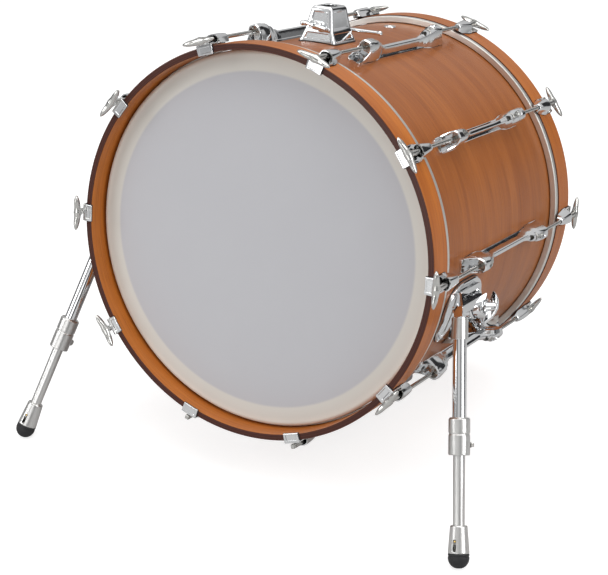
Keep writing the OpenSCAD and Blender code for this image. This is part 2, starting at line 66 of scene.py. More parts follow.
class Paint:
    """A socket in a material's nodes, with arithmetic that adds Math nodes."""

    def __init__(self, tree, socket=None):
        self.tree, self.socket = tree, socket

    def node(self, kind, settings, inputs, out=0):
        """Adds a node: its type, its settings, the values or links of its sockets, and the output wanted."""
        made = self.tree.nodes.new("ShaderNode" + kind)
        for name, value in settings.items():
            if name == "stops":
                ramp = made.color_ramp.elements
                for (place, colour), stop in zip(value, [ramp[0], ramp[1]] + [ramp.new(0.5) for _ in value[2:]]):
                    stop.position, stop.color = place, (*colour, 1)
            else:
                setattr(made, name, value)
        for name, value in inputs.items():
            if isinstance(name, str):
                socket = next(s for s in made.inputs if s.name == name and s.enabled)
            else:
                socket = made.inputs[name]
            self.feed(socket, value)
        outs = [s for s in made.outputs if s.enabled]
        return Paint(self.tree, next(s for s in outs if s.name == out) if isinstance(out, str) else outs[out])

    def feed(self, socket, value):
        if isinstance(value, Paint):
            self.tree.links.new(value.socket, socket)
        elif isinstance(value, tuple) and len(value) == 3 and socket.type == "RGBA":
            socket.default_value = (*value, 1)
        else:
            socket.default_value = value

    def math(self, operation, *values):
        return self.node("Math", {"operation": operation}, dict(enumerate(values)))

    def mix(self, low, high):
        """A colour between two others, by this value."""
        return self.node("Mix", {"data_type": "RGBA"}, {"Factor": self, "A": low, "B": high}, "Result")

    def between(self, low, high):
        """0 below low, 1 above high, smooth between."""
        return self.node("MapRange", {"interpolation_type": "SMOOTHSTEP"},
                         {"Value": self, "From Min": low, "From Max": high})

    def vector(self, operation, *values, out=0):
        return self.node("VectorMath", {"operation": operation}, dict(enumerate(values)), out)

    def noise(self, where, scale, detail=4.0, distortion=0.0):
        return self.node("TexNoise", {}, {"Vector": where, "Scale": scale, "Detail": detail,
                                          "Distortion": distortion}, "Fac")

    def bump(self, height, distance, strength=1.0):
        return self.node("Bump", {}, {"Height": height, "Distance": distance, "Strength": strength}, "Normal")

    def __add__(self, other):
        return self.math("ADD", self, other)

    def __sub__(self, other):
        return self.math("SUBTRACT", self, other)

    def __rsub__(self, other):
        return self.math("SUBTRACT", other, self)

    def __mul__(self, other):
        return self.math("MULTIPLY", self, other)

    __radd__, __rmul__ = __add__, __mul__


def finish(name, constants, drawn=None):
    """A material: constants go on the shader's own sockets, and drawn(paint, place) returns what varies.

    place is where a point lies on its own piece, in metres.
    """
    material = bpy.data.materials.new(name)
    material.use_nodes = True
    tree = material.node_tree
    shader = tree.nodes["Principled BSDF"]
    paint = Paint(tree)
    for socket, value in constants.items():
        paint.feed(shader.inputs[socket], value)
    place = paint.node("Attribute", {"attribute_name": "place"}, {}, "Vector")
    for socket, value in drawn(paint, place).items():
        paint.feed(shader.inputs[socket], value)
    return material


def wood(name, pale, dark, face=None):
    """Lacquered wood: long figure and fine pores round the drum, and darker plies on its end faces if face is given."""

    def drawn(paint, place):
        figure = paint.noise(paint.vector("MULTIPLY", place, (3.0, 26.0, 3.0)), 1.0, 3.0, 0.7)
        fine = paint.noise(paint.vector("MULTIPLY", place, (7.0, 240.0, 7.0)), 1.0, 5.0, 0.3)
        pores = paint.noise(paint.vector("MULTIPLY", place, (16.0, 900.0, 16.0)), 1.0, 2.0).between(0.34, 0.5)
        tone = figure * 0.55 + fine * 0.45
        colour = tone.between(0.3, 0.7).mix(dark, pale)
        colour = (1 - (1 - pores) * 0.35).mix(tuple(0.5 * c for c in dark), colour)
        if face:
            radius = paint.vector("LENGTH", paint.vector("MULTIPLY", place, (1.0, 0.0, 1.0)), out="Value")
            plies = (radius * (2000 * pi / 3.2)).math("SINE", radius * (2000 * pi / 3.2)).between(-0.2, 0.8)
            depth = paint.node("SeparateXYZ", {}, {"Vector": place}, "Y")
            middle = MM * (HOOP_W / 2)
            front, rear = [paint.math("ABSOLUTE", depth - centre) for centre in (middle, MM * DEPTH - middle)]
            ends = paint.math("MINIMUM", front, rear).between(middle - 0.0007, middle - 0.0004)
            colour = ends.mix(colour, (plies * 0.6 + fine * 0.3).mix(face, tuple(1.9 * c for c in face)))
        return {"Base Color": colour, "Roughness": fine * 0.10 + 0.36,
                "Normal": paint.bump(fine * 0.6 + pores * 0.4, 0.00012)}

    return finish(name, {"Coat Weight": 0.22, "Coat Roughness": 0.2, "Specular IOR Level": 0.22}, drawn)


def solid(points, faces):
    """A mesh in millimetres with its faces turned outwards."""
    shape = bmesh.new()
    corners = [shape.verts.new(p) for p in points]
    for face in faces:
        shape.faces.new([corners[i] for i in face])
    bmesh.ops.recalc_face_normals(shape, faces=shape.faces)
    mesh = bpy.data.meshes.new("solid")
    shape.to_mesh(mesh)
    shape.free()
    return mesh


def turned(profile, about="y", steps=256):
    """A lathe-turned solid. The profile is a list of (radius, distance along the axis)."""
    points, rings = [], []
    for r, h in profile:
        count = steps if r > 1e-6 else 1
        rings.append(range(len(points), len(points) + count))
        for k in range(count):
            a = 2 * pi * k / steps
            points.append((r * cos(a), h, r * sin(a)) if about == "y" else (r * cos(a), r * sin(a), h))
    open_ended = profile[0][0] < 1e-6 and profile[-1][0] < 1e-6
    faces = []
    for one, two in zip(rings, rings[1:] if open_ended else rings[1:] + rings[:1]):
        for k in range(steps):
            ring = (one[k % len(one)], one[(k + 1) % len(one)], two[(k + 1) % len(two)], two[k % len(two)])
            if len(set(ring)) > 2:
                faces.append(list(dict.fromkeys(ring)))
    return solid(points, faces)


def eased(outline, radius, steps=4):
    """A closed outline with each corner rounded; radius is one number or one per corner."""
    out = []
    for i, here in enumerate(outline):
        here, before, after = Vector(here), Vector(outline[i - 1]), Vector(outline[(i + 1) % len(outline)])
        r = radius[i] if isinstance(radius, (list, tuple)) else radius
        if not r:
            out.append(tuple(here))
            continue
        back, on = before - here, after - here
        r = min(r, 0.49 * back.length, 0.49 * on.length)
        start, end = here + back.normalized() * r, here + on.normalized() * r
        for k in range(steps + 1):
            t = k / steps
            out.append(tuple((1 - t) ** 2 * start + 2 * t * (1 - t) * here + t * t * end))
    return out


def bench(mesh):
    thing = bpy.data.objects.new("bench", mesh)
    bpy.context.scene.collection.objects.link(thing)
    return thing


def worked(mesh, *steps):
    """The mesh after modifiers, each given as (type, settings)."""
    thing = bench(mesh)
    for kind, settings in steps:
        step = thing.modifiers.new(kind, kind)
        for name, value in settings.items():
            setattr(step, name, value)
    bpy.context.view_layer.update()
    done = bpy.data.meshes.new_from_object(thing.evaluated_get(bpy.context.evaluated_depsgraph_get()))
    bpy.data.objects.remove(thing)
    return done


def boolean(mesh, operation, tools):
    helpers = [bench(tool) for tool in tools]
    done = worked(mesh, *[("BOOLEAN", {"operation": operation, "object": h, "solver": "EXACT"}) for h in helpers])
    for h in helpers:
        bpy.data.objects.remove(h)
    return done


def cut(mesh, *tools):
    return boolean(mesh, "DIFFERENCE", tools)


def moved(mesh, matrix):
    copy = mesh.copy()
    copy.transform(matrix)
    if matrix.determinant() < 0:
        copy.flip_normals()
    return copy


def piece(name, mesh, material, body, slot, *nodes, place=Matrix(), sharp=35):
    """Hands a finished mesh to the frame: in metres, in place, with its material, body and CAD nodes; slot is not used.
    """
    final = mesh.copy()
    final.name = name
    final.transform(Matrix.Scale(MM, 4))
    where = final.attributes.new("place", "FLOAT_VECTOR", "POINT")
    where.data.foreach_set("vector", [c for v in final.vertices for c in v.co])
    in_metres = place.copy()
    in_metres.translation *= MM
    final.transform(drum @ in_metres)
    final.shade_smooth()
    final.set_sharp_from_angle(angle=radians(sharp))
    final.materials.clear()
    final.materials.append(material)
    made = bpy.data.objects.new(name, final)
    bpy.context.scene.collection.objects.link(made)
    made.modifiers.new("even_normals", "WEIGHTED_NORMAL").keep_sharp = True
    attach(made, body)
    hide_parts(*nodes)
    return made


def shift(x=0.0, y=0.0, z=0.0):
    return Matrix.Translation((x, y, z))


def turn(degrees, axis):
    return Matrix.Rotation(radians(degrees), 4, axis)


shell = turned(eased([(SHELL_R, EDGE + 7), (SHELL_R - 5, EDGE), (SHELL_IN, EDGE + 3),
                      (SHELL_IN, DEPTH - EDGE - 3), (SHELL_R - 5, DEPTH - EDGE), (SHELL_R, DEPTH - EDGE - 7)], 1.0))
post_hole = moved(turned([(0, 250), (14.25, 250), (14.25, 300), (0, 300)], "z", 64), shift(0, POST_Y, 0))
vent_hole = moved(turned([(0, 250), (6.2, 250), (6.2, 300), (0, 300)], "z", 48), shift(0, VENT_Y, 0))
stain = wood("stained_maple", (0.385, 0.125, 0.028), (0.265, 0.075, 0.015))
piece("maple_shell", cut(shell, post_hole, vent_hole), stain, "drum", "shell_wood", "shell")

# ---- Heads ----
# Each head is one moulded film, pulled flat over the bearing edge, with its collar down the shell's side.
# The middle has a thin sprayed coating; a band inside the rim is left bare and shows paler.
FILM_T = 0.5
COATED_R = 0.2475
from_rear = shift(0, DEPTH, 0) @ turn(180, "Z")


def coated_film(paint, place):
    radius = paint.vector("LENGTH", paint.vector("MULTIPLY", place, (1.0, 0.0, 1.0)), out="Value")
    cloud = paint.noise(place, 6.0, 3.0)
    grit = paint.noise(place, 900.0, 2.0)
    rim = (radius + cloud * 0.002).between(COATED_R - 0.001, COATED_R + 0.004)
    edge = radius.between(0.262, 0.276)
    coat = (cloud * 0.6).mix((0.50, 0.50, 0.525), (0.54, 0.54, 0.56))
    bare = edge.mix((0.66, 0.645, 0.60), (0.76, 0.745, 0.69))
    return {"Base Color": rim.mix(coat, bare), "Roughness": 0.62 - rim * 0.25 + grit * 0.06,
            "Normal": paint.bump(grit * (1 - rim * 0.9), 0.00008)}


film = finish("coated_film", {"Specular IOR Level": 0.3}, coated_film)
face = EDGE - FILM_T - 0.1
skin = [(0, face), (SHELL_R - 6.5, face), (SHELL_R - 3.6, face + 0.5), (SHELL_R - 1.2, face + 2.4),
        (SHELL_R + 0.4, face + 5.0), (SHELL_R + 0.8, face + 7.5), (SHELL_R + 0.8, 50),
        (SHELL_R + 0.3, 50), (SHELL_R + 0.3, face + 7.6), (SHELL_R - 0.1, face + 5.2), (SHELL_R - 1.6, face + 2.8),
        (SHELL_R - 3.9, face + 1.0), (SHELL_R - 6.5, face + 0.5), (0, face + 0.5)]
head = turned(skin)
piece("front_drum_head", head, film, "drum", "coated_film", "front_head")
piece("rear_drum_head", moved(head, from_rear), film, "drum", "coated_film", "rear_head")

# ---- Flesh hoops ----
# The rolled aluminium channel that the film is locked into; the wooden hoop presses on it all round.
# Its outer face is softly rounded and brushed round the drum.


def brushed(name, colour, rough, axis_scale):
    """Satin metal, brushed: axis_scale is low along the brushing and high across it."""

    def drawn(paint, place):
        lines = paint.noise(paint.vector("MULTIPLY", place, axis_scale), 1.0, 3.0)
        cloud = paint.noise(place, 14.0, 2.0)
        return {"Base Color": (lines * 0.5 + cloud * 0.5).mix(tuple(0.88 * c for c in colour), colour),
                "Roughness": lines * 0.14 + (rough - 0.05), "Normal": paint.bump(lines, 0.00003)}

    return finish(name, {"Metallic": 1.0}, drawn)


satin_band = brushed("satin_band", (0.82, 0.81, 0.77), 0.42, (9.0, 1600.0, 9.0))
flesh = turned(eased([(278.9, 44.05), (287.8, 44.05), (288.6, 45.4), (288.6, 52.4), (287.8, 54.05),
                      (278.9, 54.05)], 0.8, 4))
piece("front_flesh_ring", flesh, satin_band, "drum", "satin_aluminium", "front_flesh_hoop")
piece("rear_flesh_ring", moved(flesh, from_rear), satin_band, "drum", "satin_aluminium", "rear_flesh_hoop")

# ---- Wooden hoops ----
# Maple plies glued up in a ring and stained like the shell; each hoop is pulled onto the head by the claws.
# The cut end faces take the stain darker and show the plies.
HOOP_R = 290.0
HOOP_IN = 280.4
hoop_stain = wood("stained_hoop", (0.50, 0.155, 0.022), (0.36, 0.095, 0.012), face=(0.045, 0.011, 0.006))
hoop = turned(eased([(HOOP_IN, 0), (HOOP_R, 0), (HOOP_R, HOOP_W), (HOOP_IN, HOOP_W)], 1.5, 4))
piece("front_wood_hoop", hoop, hoop_stain, "drum", "hoop_wood", "front_hoop")
piece("rear_wood_hoop", moved(hoop, from_rear), hoop_stain, "drum", "hoop_wood", "rear_hoop")

# ---- Lugs ----
# One chromed casting runs the depth of the shell between each pair of rods: a flanged foot, a slim ridge,
# and at each end an eye with an oval window over the nut and an open mouth for the rod.
ROD_R = 298.5
LUG_START = 113.5
CLOCKS = [18 + 36 * k for k in range(10)]


def chromed(paint, place):
    cloud = paint.noise(place, 55.0, 3.0)
    grit = paint.noise(place, 700.0, 2.0)
    return {"Base Color": cloud.mix((0.80, 0.81, 0.82), (0.86, 0.865, 0.87)),
            "Roughness": cloud * 0.06 + grit * 0.03 + 0.03, "Normal": paint.bump(cloud, 0.00006)}


chrome = finish("bright_chrome", {"Metallic": 1.0}, chromed)


def clock(degrees):
    """From the top of the drum round to an angle, clockwise from the front."""
    return turn(degrees, "Y")


def fused(mesh, *others):
    return boolean(mesh, "UNION", others)


def bevelled(mesh, width, segments=2, angle=30):
    return worked(mesh, ("BEVEL", {"width": width, "segments": segments, "limit_method": "ANGLE",
                                   "angle_limit": radians(angle)}))


def joined(*meshes):
    shape = bmesh.new()
    for mesh in meshes:
        shape.from_mesh(mesh)
    mesh = bpy.data.meshes.new("solid")
    shape.to_mesh(mesh)
    shape.free()
    return mesh


def lofted(rings):
    """A solid through rings of equal point counts, capped at both ends."""
    count = len(rings[0])
    points = [p for ring in rings for p in ring]
    faces = [[i * count + k, i * count + (k + 1) % count, (i + 1) * count + (k + 1) % count, (i + 1) * count + k]
             for i in range(len(rings) - 1) for k in range(count)]
    return solid(points, faces + [list(range(count)), list(range(len(points) - count, len(points)))])


def arch(y, half, top, foot, square=0.6, flare=0.0, steps=20):
    """One ring of an inverted U at depth y, from radius foot up to top, with skirts that flare at its foot."""
    ring = []
    for k in range(steps + 1):
        t = pi * k / steps
        x = half * abs(cos(t)) ** square * (1 if cos(t) >= 0 else -1)
        rise = (top - foot) * sin(t) ** square if 0 < k < steps else 0.0
        spread = flare * exp(-rise / 2.6) * (1 if x > 0 else -1)
        ring.append((x + spread, y, foot + rise))
    return ring


def along(stations, y):
    """Values between stations (y, a, b, ...), eased."""
    for low, high in zip(stations, stations[1:]):
        if y <= high[0]:
            t = max(0.0, (y - low[0]) / (high[0] - low[0]))
            t = t * t * (3 - 2 * t)
            return [a + (b - a) * t for a, b in zip(low[1:], high[1:])]
    return list(stations[-1][1:])


def plate_ring(y, half, low, high, edge=0.9, steps=6):
    """One ring of a flat strip that follows the shell, with its upper edges broken."""
    xs = [-half + edge + (2 * half - 2 * edge) * k / steps for k in range(steps + 1)]
    ring = [(-half, low), (-half, high - edge)] + [(x, high) for x in xs] + [(half, high - edge), (half, low)]
    ring += [(x, low) for x in reversed(xs)]
    return [(x, y, sqrt(r * r - x * x)) for x, r in ring]


foot_shape = [(0, 5.0), (1.5, 8.6), (5, 11.2), (10, 12.0), (34, 12.6), (50, 12.0), (72, 8.4), (145, 8.0)]
foot_rings = [plate_ring(LUG_START + s, along(foot_shape, s)[0], SHELL_R + 0.05, SHELL_R + 3.4)
              for s in (0, 0.6, 1.5, 3, 5, 10, 22, 34, 42, 50, 57, 64, 72, 90, 110, 130, 145)]
ridge_rings = [arch(y, 4.6, SHELL_R + 17.0, SHELL_R + 2.0, 0.5) for y in (190, 220, DEPTH / 2)]
eye_shape = [(136.5, 10.0, 307.4), (138.2, 11.6, 309.2), (150, 12.0, 309.5), (162, 11.6, 308.4), (176, 9.2, 303.6),
             (190, 5.8, 297.4), (204, 4.5, 294.2)]
eye_rings = [arch(y, *along(eye_shape, y), SHELL_R + 2.0, 0.62)
             for y in (136.5, 137.2, 138.2, 141, 146, 150, 156, 162, 166, 170, 173, 176, 180, 184, 187, 190, 195,
                       200, 204)]
cheek_rings = [[(x + s, LUG_START + d, z) for x, z in ((0, 280), (2.2, 280), (1.9, 281.5 + h), (0.5, 281.5 + h))]
               for s, h, d in ((9.3, 0.2, 3.5), (9.4, 3.0, 10), (9.5, 7.5, 17), (9.3, 13, 23), (9.0, 17, 27))]


def lug_half():
    body = fused(lofted(foot_rings), lofted(eye_rings), lofted(ridge_rings))
    cheek = lofted(cheek_rings)
    body = fused(body, cheek, moved(cheek, Matrix.Scale(-1, 4, (1, 0, 0))))
    mouth = lofted([arch(134, 9.2, 306.8, 281.6, 0.6), arch(147, 8.4, 306.0, 283.0, 0.7)])
    bore = moved(turned([(0, 140), (7.2, 140), (7.2, 174), (4.2, 175), (4.2, 186), (0, 186)], "y", 40), shift(z=ROD_R))
    window = []
    for z, grow in ((299, 0.0), (306, 0.2), (312, 2.4)):
        window.append([((4.3 + grow) * cos(a), 160 + (10.6 + grow) * sin(a), z)
                       for a in [2 * pi * k / 36 for k in range(36)]])
    return cut(body, mouth, bore, lofted(window))


half = lug_half()
lug = bevelled(joined(half, moved(half, from_rear)), 0.5, 2, 40)
piece("shell_lugs", joined(*[moved(lug, clock(a)) for a in CLOCKS]), chrome, "drum", "chrome", "lugs")

# ---- Nuts and screws ----
# A threaded brass nut lies loose in each eye and takes the rod's thread.
# The lugs, the receiver and the spur brackets are held by plated screws from inside the shell.


def plated(paint, place):
    cloud = paint.noise(place, 90.0, 3.0)
    return {"Base Color": cloud.mix((0.46, 0.45, 0.42), (0.60, 0.59, 0.56)), "Roughness": cloud * 0.16 + 0.22,
            "Normal": paint.bump(cloud, 0.00005)}


nut_metal = finish("nut_brass", {"Metallic": 1.0}, plated)
nut = turned([(3.05, 146), (6.4, 146), (7.0, 146.6), (7.0, 172.4), (6.4, 173), (3.05, 173)], "y", 40)
nut = moved(nut, shift(z=ROD_R))
nuts = joined(*[moved(nut, clock(a)) for a in CLOCKS])
piece("lug_nuts", joined(nuts, moved(nuts, from_rear)), nut_metal, "drum", "brass", "swivel_nuts")

steel = brushed("bright_steel", (0.66, 0.655, 0.63), 0.20, (420.0, 30.0, 420.0))
screw = turned([(0, 264.4), (3.9, 264.6), (4.5, 265.4), (4.5, 268.4), (7.4, 268.4), (8, 268.8), (8, 269.7),
                (2.55, 269.7), (2.55, 279.4), (0, 279.4)], "z", 32)
screw_places = [(a, y) for a in CLOCKS for y in (LUG_START + 52, DEPTH - LUG_START - 52)]
screw_places += [(s * 3.92, POST_Y + y) for s in (1, -1) for y in (-25, 25)]
screw_places += [(s * a, y) for s in (1, -1) for a, y in ((100, 128), (100, 184), (113, 156))]
piece("mounting_screws", joined(*[moved(screw, shift(y=y) @ clock(a)) for a, y in screw_places]), steel,
      "drum", "steel", "shell_screws")

# ---- Claws ----
# Each claw is a chromed casting hooked over the hoop: a tab on its face, a strap across its rim,
# and a hooded body that tapers along the rod. The tab has a sunk panel, and a black gasket keeps it off the wood.
CLAW_IN = 291.0
CLAW_OUT = 293.4


def swept(profile, spread, steps=8):
    """A (radius, depth) profile swept round the drum's axis over an angle either side of the top."""
    angles = [spread * (2 * k / steps - 1) for k in range(steps + 1)]
    return lofted([[(r * sin(a), y, r * cos(a)) for r, y in profile] for a in angles])


half_angle = 13 / HOOP_R
hook = bevelled(swept([(278.4, -1.0), (278.4, -3.4), (CLAW_OUT, -3.4), (CLAW_OUT, 29), (CLAW_IN, 29),
                       (CLAW_IN, -1.0)], half_angle), 0.8, 3, 30)
body_shape = [(22, 10.6, 3.6, 305.5), (30, 10.0, 3.4, 305.5), (40, 8.7, 2.4, 305.2), (50, 7.4, 1.0, 304.6),
              (54, 6.8, 0.4, 303.9), (57, 5.4, 0.0, 302.4), (58, 3.9, 0.0, 301.0)]


def hood_ring(y):
    width, flare, top = along(body_shape, y)
    return arch(y, width, top, 291.15 if y < 50 else 291.15 + (y - 50) * 0.3, 0.62, flare)


hood = lofted([hood_ring(y) for y in (22, 25, 30, 35, 40, 45, 50, 52, 54, 55.5, 57, 57.6, 58)])


def oval(y, half, rise, z, steps=28):
    return [(half * cos(a), y, z + rise * sin(a)) for a in [2 * pi * k / steps for k in range(steps)]]


cavity = lofted([oval(20, 9.4, 6.0, 298.2), oval(33.8, 8.2, 5.6, 298.2)])
rod_bore = moved(turned([(0, 10), (3.7, 10), (3.7, 70), (0, 70)], "y", 32), shift(z=ROD_R))
panel = lofted([[(x, y, z) for x, z in ((-w, low), (w, low), (w, high), (-w, high))]
                for y, w, low, high in ((-4.0, 9.6, 279.8, 290.4), (-2.8, 8.2, 281.4, 288.8))])
claw = bevelled(cut(fused(hook, hood), cavity, rod_bore, panel), 0.45, 2, 40)
claws = joined(*[moved(claw, clock(a)) for a in CLOCKS])
piece("front_claw_hooks", claws, chrome, "drum", "chrome", "front_claws")
piece("rear_claw_hooks", moved(claws, from_rear), chrome, "drum", "chrome", "rear_claws")


def rubbery(paint, place):
    grain = paint.noise(place, 420.0, 3.0)
    cloud = paint.noise(place, 30.0, 2.0)
    return {"Base Color": cloud.mix((0.010, 0.010, 0.011), (0.026, 0.026, 0.028)), "Roughness": grain * 0.16 + 0.48,
            "Normal": paint.bump(grain, 0.00010)}


rubber = finish("black_rubber", {"Specular IOR Level": 0.4}, rubbery)
pad = swept([(278.4, 0.0), (278.4, -1.0), (CLAW_IN, -1.0), (CLAW_IN, 33), (290.02, 33), (290.02, 0.0)],
            13.6 / HOOP_R)
pads = joined(*[moved(pad, clock(a)) for a in CLOCKS])
piece("hoop_gaskets", joined(pads, moved(pads, from_rear)), rubber, "drum", "rubber", "claw_gaskets")

washer = moved(turned(eased([(3.6, 32.8), (5.8, 32.8), (5.8, 34.0), (3.6, 34.0)], 0.3, 2), "y", 40), shift(z=ROD_R))
washers = joined(*[moved(washer, clock(a)) for a in CLOCKS])
piece("claw_washers", joined(washers, moved(washers, from_rear)), steel, "drum", "steel", "rod_washers")

# ---- Tension rods ----
# A nickel-plated rod runs from each claw into its lug. Sixteen have a forged wing to turn by hand;
# the four nearest the floor have a small square head for a drum key instead.
FLANGE = [(5.6, 29.8), (5.6, 32.6), (3.0, 32.7), (3.0, 167), (2.2, 168), (0, 168)]
hub = [(0, -14.0), (3.0, -13.8), (5.2, -12.4), (6.0, -9.4), (5.6, -5.0), (4.3, -3.0), (4.1, 22), (4.6, 27)]
key = [(0, 1.0), (3.9, 1.0), (4.1, 3.0), (4.1, 27)]
wing_shape = [(0, -10.0, 6.0, 6.2), (6, -10.4, 5.2, 5.2), (9, -10.9, 5.0, 4.7), (13, -11.6, 5.3, 4.4),
              (18, -12.5, 4.9, 3.8), (22, -13.1, 3.9, 3.0), (25, -13.6, 2.5, 2.0), (26.6, -13.9, 1.2, 1.0),
              (27.0, -14.0, 0.5, 0.4)]


def wing(side):
    """Half of the wing: rings outward along x, as (out, middle, half chord along y, half thickness along z)."""
    return lofted([[(side * out, middle + chord * cos(a), thick * sin(a))
                    for a in [2 * pi * k / 24 for k in range(24)]] for out, middle, chord, thick in wing_shape])


t_rod = moved(joined(turned(hub + FLANGE, "y", 40), wing(1), wing(-1)), shift(z=ROD_R))
square = [[(x, y, z) for x, z in eased([(-s, -s), (s, -s), (s, s), (-s, s)], 0.6, 2)]
          for y, s in ((-4, 2.6), (-3.4, 3.2), (3.6, 3.2), (4.0, 3.0))]
key_rod = moved(joined(turned(key + FLANGE, "y", 40), lofted(square)), shift(z=ROD_R))
NEAR_FLOOR = 36
for number, angle in enumerate(CLOCKS, 1):
    rod = key_rod if abs(angle - 180) < NEAR_FLOOR else t_rod
    for end, place in (("front", clock(angle)), ("rear", from_rear @ clock(-angle))):
        node = f"{end}_rod_{number}"
        piece(f"{end}_tension_rod_{number}", moved(rod, place), steel, node, "steel", node)

# ---- Air vent ----
# A plated brass grommet lets the air out when the drum is struck.
# It is pushed through the shell's vent hole and rolled over on both sides.
vent = turned(eased([(4.6, 267.6), (9.0, 267.6), (9.0, 269.4), (6.1, 269.9), (6.1, SHELL_R), (9.5, SHELL_R),
                     (9.5, 278.7), (8.4, 279.9), (5.6, 279.9), (4.6, 279.2)], 0.5, 2), "z", 64)
piece("vent_ring", moved(vent, shift(0, VENT_Y, 0)), chrome, "drum", "chrome", "vent_grommet")

# ---- Post receiver ----
# A chromed casting of two tapering tiers with a sunk panel in each side, bolted through the shell on a black gasket.
# The post slides down its bore; a wing bolt in front and a barred bolt behind clamp it.
FOOT = (60.0, 69.0)
WAIST = (47.4, 62.6)
TOP = (34.0, 49.0)
WAIST_Z = SHELL_R + 17.5
TOP_Z = SHELL_R + 51.0


def rounded_box_ring(size, corner, z, drop=0.0, steps=5):
    """A ring with four rounded corners; drop lowers it to follow a round shell."""
    ring = []
    for quarter, (sx, sy) in enumerate(((1, 1), (-1, 1), (-1, -1), (1, -1))):
        for k in range(steps + 1):
            a = pi / 2 * (quarter + k / steps)
            x = sx * (size[0] / 2 - corner) + corner * cos(a)
            y = sy * (size[1] / 2 - corner) + corner * sin(a)
            ring.append((x, y, z - (drop - sqrt(drop * drop - x * x) if drop else 0.0)))
    return ring


def grown(size, by):
    return (size[0] + 2 * by, size[1] + 2 * by)


receiver_rings = [rounded_box_ring(FOOT, 6, SHELL_R + 1.3, SHELL_R), rounded_box_ring(FOOT, 6, SHELL_R + 3.2, SHELL_R),
                  rounded_box_ring(WAIST, 4, WAIST_Z - 1.4), rounded_box_ring(grown(WAIST, -0.7), 4, WAIST_Z),
                  rounded_box_ring(grown(TOP, 0.4), 4, TOP_Z - 4.2), rounded_box_ring(grown(TOP, -0.4), 4, TOP_Z - 2.4),
                  rounded_box_ring(grown(TOP, -2.6), 3.5, TOP_Z)]


def panelled(mesh, low, high, margin, depth):
    """Sinks a panel in each broad side face between two heights."""
    shape = bmesh.new()
    shape.from_mesh(mesh)
    broad = [f for f in shape.faces if low < f.calc_center_median().z < high and f.calc_area() > 300]
    bmesh.ops.inset_individual(shape, faces=broad, thickness=margin, depth=0.0, use_even_offset=True)
    bmesh.ops.inset_individual(shape, faces=broad, thickness=1.1, depth=-depth, use_even_offset=True)
    done = bpy.data.meshes.new("solid")
    shape.to_mesh(done)
    shape.free()
    return done


body = lofted(receiver_rings)
body = panelled(body, SHELL_R + 4, WAIST_Z - 2, 2.4, 1.0)
body = panelled(body, WAIST_Z + 2, TOP_Z - 5, 2.8, 1.0)
post_bore = turned([(0, 250), (12.75, 250), (12.75, TOP_Z - 0.8), (13.6, TOP_Z + 1), (0, TOP_Z + 1)], "z", 64)
bolt_way = moved(turned([(0, 10), (4.4, 10), (4.4, 60), (0, 60)], "y", 32), shift(z=SHELL_R + 14))
front_way = moved(turned([(0, -60), (4.4, -60), (4.4, -10), (0, -10)], "y", 32), shift(z=SHELL_R + 25))
receiver = bevelled(cut(body, post_bore, bolt_way, front_way), 0.7, 3, 25)
receiver_place = shift(0, POST_Y, 0)
piece("post_receiver", moved(receiver, receiver_place), chrome, "drum", "chrome", "tom_receiver")


def strip(half, start, end, low, high, corner, edge=0.5, steps=14):
    """A pad that follows the shell: width 2 * half, rounded corners, between two depths and two radii."""
    rings = []
    for k in range(-steps, steps + 1):
        s = sin(k / steps * pi / 2)
        y = (start + end) / 2 + s * (end - start) / 2
        inset = max(0.0, corner - (end - start) / 2 * (1 - abs(s)))
        rings.append(plate_ring(y, half - corner + sqrt(max(corner ** 2 - inset ** 2, 0.2)), low, high, edge, 16))
    return lofted(rings)


receiver_pad = strip(31.5, POST_Y - 36, POST_Y + 36, SHELL_R + 0.02, SHELL_R + 1.25, 7, 0.3)

# Front bolt: a domed hub with two rounded lobes, screwed into the upper tier.
LOBES = [(0, 0.0, 5.4, 4.6), (5, 0.2, 4.8, 3.6), (10, 1.0, 4.4, 3.0), (15, 1.6, 4.9, 2.8), (18, 1.4, 3.6, 2.2),
         (19.4, 1.2, 1.2, 0.9)]


def lobe(side):
    """Half of a wing: rings outward along x, as (out, lean, half chord along z, half thickness along y)."""
    return lofted([[(side * out, thick * sin(a), -lean + chord * cos(a))
                    for a in [2 * pi * k / 24 for k in range(24)]] for out, lean, chord, thick in LOBES])


stem = turned([(0, 13.4), (4.0, 13.4), (4.0, 31), (6.6, 32), (7.2, 34), (6.6, 40), (5.6, 44), (4.0, 46.6), (0, 47.8)],
              "z", 40)
front_bolt = joined(stem, *[moved(lobe(s), shift(z=42)) for s in (1, -1)])
lay_forward = turn(90, "X")
piece("post_wing_bolt", front_bolt, chrome, "receiver_front_bolt", "chrome", "receiver_front_bolt",
      place=shift(0, POST_Y, SHELL_R + 25) @ lay_forward @ turn(-12, "Z"))

# Rear bolt: its head carries a sliding bar with two rounded ends.
bolt_head = turned([(0, 13.4), (4.0, 13.4), (4.0, 35.4), (6.5, 35.6), (6.8, 37), (6.8, 43), (6.2, 44.6), (0, 45.2)],
                   "z", 40)
bar_end = [(3.0, 62), (3.1, 63.2), (3.9, 65.4), (3.8, 67.4), (2.4, 69.2), (0, 69.6)]
bar = turned([(r, -h) for r, h in reversed(bar_end)] + bar_end, "z", 28)
bar = moved(bar, shift(z=40) @ turn(90, "Y"))
piece("post_bar_bolt", joined(bolt_head, bar), chrome, "receiver_rear_bolt", "chrome", "receiver_rear_bolt",
      place=shift(0, POST_Y, SHELL_R + 14) @ turn(-90, "X"))

